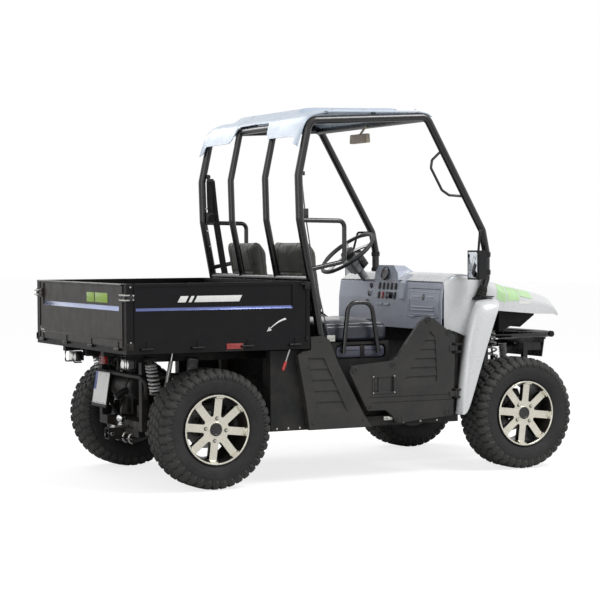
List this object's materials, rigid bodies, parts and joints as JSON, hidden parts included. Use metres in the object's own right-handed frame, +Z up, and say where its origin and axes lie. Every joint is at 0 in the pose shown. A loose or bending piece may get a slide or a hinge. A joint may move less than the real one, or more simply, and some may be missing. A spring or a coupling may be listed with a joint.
{
  "type": "side by side utility vehicle",
  "caption": "Two-seat side-by-side utility vehicle: open tube cage with roof, half doors, lugged tyres on cast wheels, and a tilting drop-side bed.",
  "frame": {"origin": "on the ground, midway along and across the vehicle", "axes": "+X forward, +Y to the driver's left, +Z up"},
  "size_m": [2.99, 1.58, 2.091],
  "materials": {
    "body_silver": "satin silver-white paint",
    "cage_black": "semi-gloss black powder coat",
    "frame_black": "satin black paint",
    "bed_black": "satin black paint",
    "roof_silver": "satin silver paint",
    "panel_grey": "fine grained",
    "trim_black": "fine grained",
    "dash_silver": "satin silver",
    "seat_vinyl": "grained vinyl",
    "tyre": "matt rubber",
    "wheel_alloy": "machined face over black pockets",
    "steel": "zinc plated",
    "cast": "bare casting",
    "chrome": "polished",
    "spring_grey": "pale grey paint",
    "lamp_clear": "clear lens",
    "lamp_red": "red lens",
    "plate_white": "reflective white with a blue band",
    "wheel_grip": "soft grip"
  },
  "bodies": {
    "chassis": {"chassis_frame": "frame_black", "floor_pan": "trim_black", "engine_block": "cast", "rear_arms": "frame_black", "rear_hubs": "cast", "rear_drive": "cast", "rear_shocks": "spring_grey", "front_shocks": "spring_grey", "front_arms": "frame_black", "front_drive": "cast", "hitch_frame": "frame_black", "tow_ball": "chrome", "cage_sides": "cage_black", "cage_cross": "cage_black", "roof": "roof_silver", "side_sills": "trim_black", "quarter_panels": "panel_grey", "front_fenders": "body_silver", "hood": "body_silver", "dash": "dash_silver", "front_fascia": "trim_black", "headlamps": "lamp_clear", "bumper": "frame_black", "seat_base": "trim_black", "seat_cushions": "seat_vinyl", "seat_backs": "seat_vinyl", "side_bars": "cage_black", "steering_column": "frame_black", "mirrors": "trim_black", "cab_mirror": "trim_black", "number_plate": "plate_white", "tail_lamps": "lamp_red"},
    "wheel_rear_left": {"tyre_rear_left": "tyre", "rim_rear_left": "wheel_alloy"},
    "wheel_rear_right": {"tyre_rear_right": "tyre", "rim_rear_right": "wheel_alloy"},
    "knuckle_left": {"knuckle_left": "cast"},
    "knuckle_right": {"knuckle_right": "cast"},
    "wheel_front_left": {"tyre_front_left": "tyre", "rim_front_left": "wheel_alloy"},
    "wheel_front_right": {"tyre_front_right": "tyre", "rim_front_right": "wheel_alloy"},
    "steering_wheel": {"steering_wheel": "wheel_grip"},
    "steering_rack": {"steering_rack": "steel"},
    "door_left": {"door_left": "panel_grey"},
    "door_right": {"door_right": "panel_grey"},
    "glove_lid": {"glove_lid": "dash_silver"},
    "bed": {"bed_tub": "bed_black"},
    "bed_side_left": {"bed_side_left": "bed_black"},
    "bed_side_right": {"bed_side_right": "bed_black"},
    "tailgate": {"tailgate": "bed_black"},
    "strut_cylinders": {"strut_cylinders": "steel"},
    "strut_rods": {"strut_rods": "steel"}
  },
  "joints": [
    {"name": "rear_left_spin", "type": "hinge", "parent": "chassis", "child": "wheel_rear_left", "pos_m": [-0.965, 0.6, 0.325], "axis": [0, 1, 0], "continuous": true},
    {"name": "rear_right_spin", "type": "hinge", "parent": "chassis", "child": "wheel_rear_right", "pos_m": [-0.965, -0.6, 0.325], "axis": [0, 1, 0], "continuous": true},
    {"name": "steer", "type": "hinge", "parent": "chassis", "child": "knuckle_left", "pos_m": [0.987, 0.52, 0.325], "axis": [0, 0, 1], "range_deg": [-25, 25]},
    {"name": "steer_right", "type": "hinge", "parent": "chassis", "child": "knuckle_right", "pos_m": [0.987, -0.52, 0.325], "axis": [0, 0, 1], "range_deg": [-25, 25]},
    {"name": "front_left_spin", "type": "hinge", "parent": "knuckle_left", "child": "wheel_front_left", "pos_m": [0.987, 0.635, 0.325], "axis": [0, 1, 0], "continuous": true},
    {"name": "front_right_spin", "type": "hinge", "parent": "knuckle_right", "child": "wheel_front_right", "pos_m": [0.987, -0.635, 0.325], "axis": [0, 1, 0], "continuous": true},
    {"name": "steering_wheel_turn", "type": "hinge", "parent": "chassis", "child": "steering_wheel", "pos_m": [0.399, 0.33, 1.256], "axis": [-0.6176, 0, 0.7865], "range_deg": [-225, 225]},
    {"name": "rack_slide", "type": "slide", "parent": "chassis", "child": "steering_rack", "axis": [0, 1, 0], "range_m": [-0.048, 0.048]},
    {"name": "door_left_swing", "type": "hinge", "parent": "chassis", "child": "door_left", "pos_m": [0.539, 0.696, 0.46], "axis": [0, 0, -1], "range_deg": [0, 70]},
    {"name": "door_right_swing", "type": "hinge", "parent": "chassis", "child": "door_right", "pos_m": [0.539, -0.696, 0.46], "axis": [0, 0, 1], "range_deg": [0, 70]},
    {"name": "glove_lid_drop", "type": "hinge", "parent": "chassis", "child": "glove_lid", "pos_m": [0.485, -0.414, 0.884], "axis": [0, -1, 0], "range_deg": [0, 75]},
    {"name": "bed_tilt", "type": "hinge", "parent": "chassis", "child": "bed", "pos_m": [-1.315, 0, 0.7], "axis": [0, -1, 0], "range_deg": [0, 45]},
    {"name": "tailgate_drop", "type": "hinge", "parent": "bed", "child": "tailgate", "pos_m": [-1.487, 0, 0.766], "axis": [0, -1, 0], "range_deg": [0, 90]},
    {"name": "side_left_drop", "type": "hinge", "parent": "bed", "child": "bed_side_left", "pos_m": [-0.965, 0.713, 0.766], "axis": [-1, 0, 0], "range_deg": [0, 90]},
    {"name": "side_right_drop", "type": "hinge", "parent": "bed", "child": "bed_side_right", "pos_m": [-0.965, -0.713, 0.766], "axis": [1, 0, 0], "range_deg": [0, 90]},
    {"name": "strut_swing", "type": "hinge", "parent": "chassis", "child": "strut_cylinders", "pos_m": [-1.13, 0, 0.4], "axis": [0, -1, 0], "range_deg": [0, 14.75]},
    {"name": "strut_extend", "type": "slide", "parent": "strut_cylinders", "child": "strut_rods", "axis": [0.1905, 0, 0.9817], "range_m": [0, 0.16146]}
  ],
  "couplings": [
    {"joint": "steer_right", "follows": "steer", "ratio": 1},
    {"joint": "steering_wheel_turn", "follows": "steer", "ratio": 9},
    {"joint": "rack_slide", "follows": "steer", "m_per_rad": -0.10654},
    {"joint": "strut_swing", "follows": "bed_tilt", "ratio": 0.3276},
    {"joint": "strut_extend", "follows": "bed_tilt", "m_per_rad": 0.20545}
  ]
}
